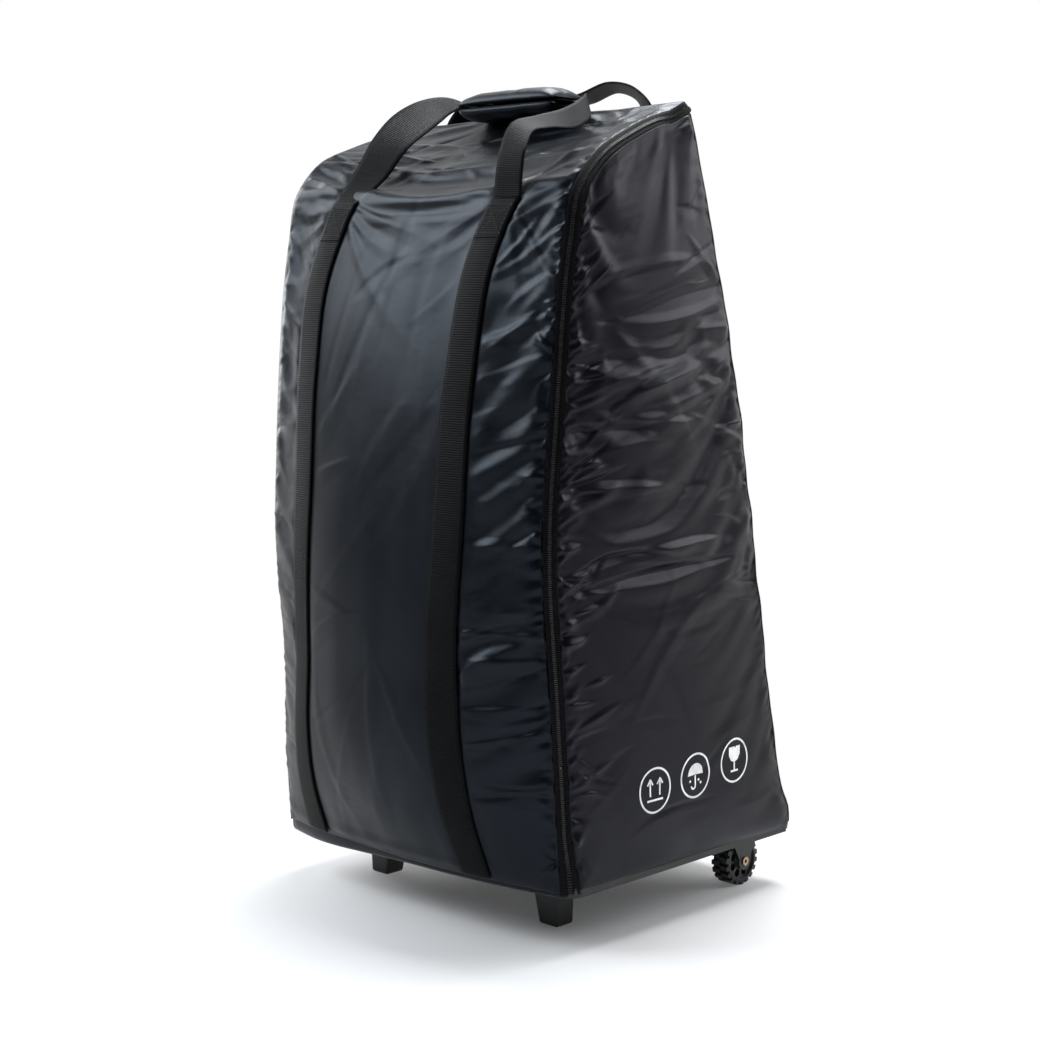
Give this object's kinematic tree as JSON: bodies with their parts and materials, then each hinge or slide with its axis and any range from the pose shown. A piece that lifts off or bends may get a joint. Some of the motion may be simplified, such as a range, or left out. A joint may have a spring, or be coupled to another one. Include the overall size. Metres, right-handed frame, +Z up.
{
  "type": "wheeled padded travel bag",
  "caption": "Tall tapered padded black fabric travel bag with a zipped front flap, webbing straps, carry loops, a wrap grip, front feet and rear wheels.",
  "frame": {"origin": "centre of the bounding box at floor level, under the feet and wheels", "axes": "+Z up, the zipped front flap faces -Y, +X to the right as seen from the front"},
  "size_m": [0.64, 0.6004, 1.2119],
  "materials": {
    "nylon": "satin woven nylon",
    "webbing": "ribbed webbing",
    "hard_plastic": "moulded, fine grain",
    "board": "matt",
    "rivet": "dull",
    "slider_metal": "black"
  },
  "bodies": {
    "shell": {"base_tray": "hard_plastic", "base_board": "board", "back_panel": "nylon", "right_side_panel": "nylon", "left_side_panel": "nylon", "right_shell_tape": "webbing", "left_shell_tape": "webbing", "rear_shell_tape": "webbing", "right_rear_piping": "webbing", "left_rear_piping": "webbing", "base_piping": "webbing", "right_rear_strap": "webbing", "left_rear_strap": "webbing", "rear_handle_loop": "webbing", "right_wheel_bracket": "hard_plastic", "left_wheel_bracket": "hard_plastic", "right_axle": "rivet", "left_axle": "rivet", "right_foot": "hard_plastic", "left_foot": "hard_plastic"},
    "front_flap": {"front_panel": "nylon", "right_flap_tape": "webbing", "left_flap_tape": "webbing", "rear_flap_tape": "webbing", "right_front_strap": "webbing", "left_front_strap": "webbing", "front_handle_loop": "webbing", "grip_pad": "nylon"},
    "grip_top": {"grip_cover": "nylon"},
    "right_wheel": {"right_wheel": "hard_plastic"},
    "right_slider": {"right_zip_slider": "slider_metal"},
    "right_pull": {"right_zip_pull": "webbing"},
    "left_wheel": {"left_wheel": "hard_plastic"},
    "left_slider": {"left_zip_slider": "slider_metal"},
    "left_pull": {"left_zip_pull": "webbing"}
  },
  "joints": [
    {"name": "front_flap_hinge", "type": "hinge", "parent": "shell", "child": "front_flap", "pos_m": [0, -0.2254, 0.0945], "axis": [1, 0, 0], "range_deg": [0, 70]},
    {"name": "grip_hinge", "type": "hinge", "parent": "front_flap", "child": "grip_top", "pos_m": [0, 0.0366, 1.181], "axis": [-1, 0, 0], "range_deg": [0, 75]},
    {"name": "right_wheel_spin", "type": "hinge", "parent": "shell", "child": "right_wheel", "pos_m": [0.2465, 0.2316, 0.0385], "axis": [1, 0, 0], "continuous": true},
    {"name": "right_zip_slide", "type": "slide", "parent": "shell", "child": "right_slider", "axis": [1, 0, 0], "range_m": [0, 0.11]},
    {"name": "right_pull_swing", "type": "hinge", "parent": "right_slider", "child": "right_pull", "pos_m": [0.012, 0.0369, 1.16098], "axis": [1, 0, 0], "range_deg": [0, 50]},
    {"name": "left_wheel_spin", "type": "hinge", "parent": "shell", "child": "left_wheel", "pos_m": [-0.2465, 0.2316, 0.0385], "axis": [1, 0, 0], "continuous": true},
    {"name": "left_zip_slide", "type": "slide", "parent": "shell", "child": "left_slider", "axis": [-1, 0, 0], "range_m": [0, 0.11]},
    {"name": "left_pull_swing", "type": "hinge", "parent": "left_slider", "child": "left_pull", "pos_m": [-0.012, 0.0369, 1.16098], "axis": [1, 0, 0], "range_deg": [0, 50]}
  ]
}
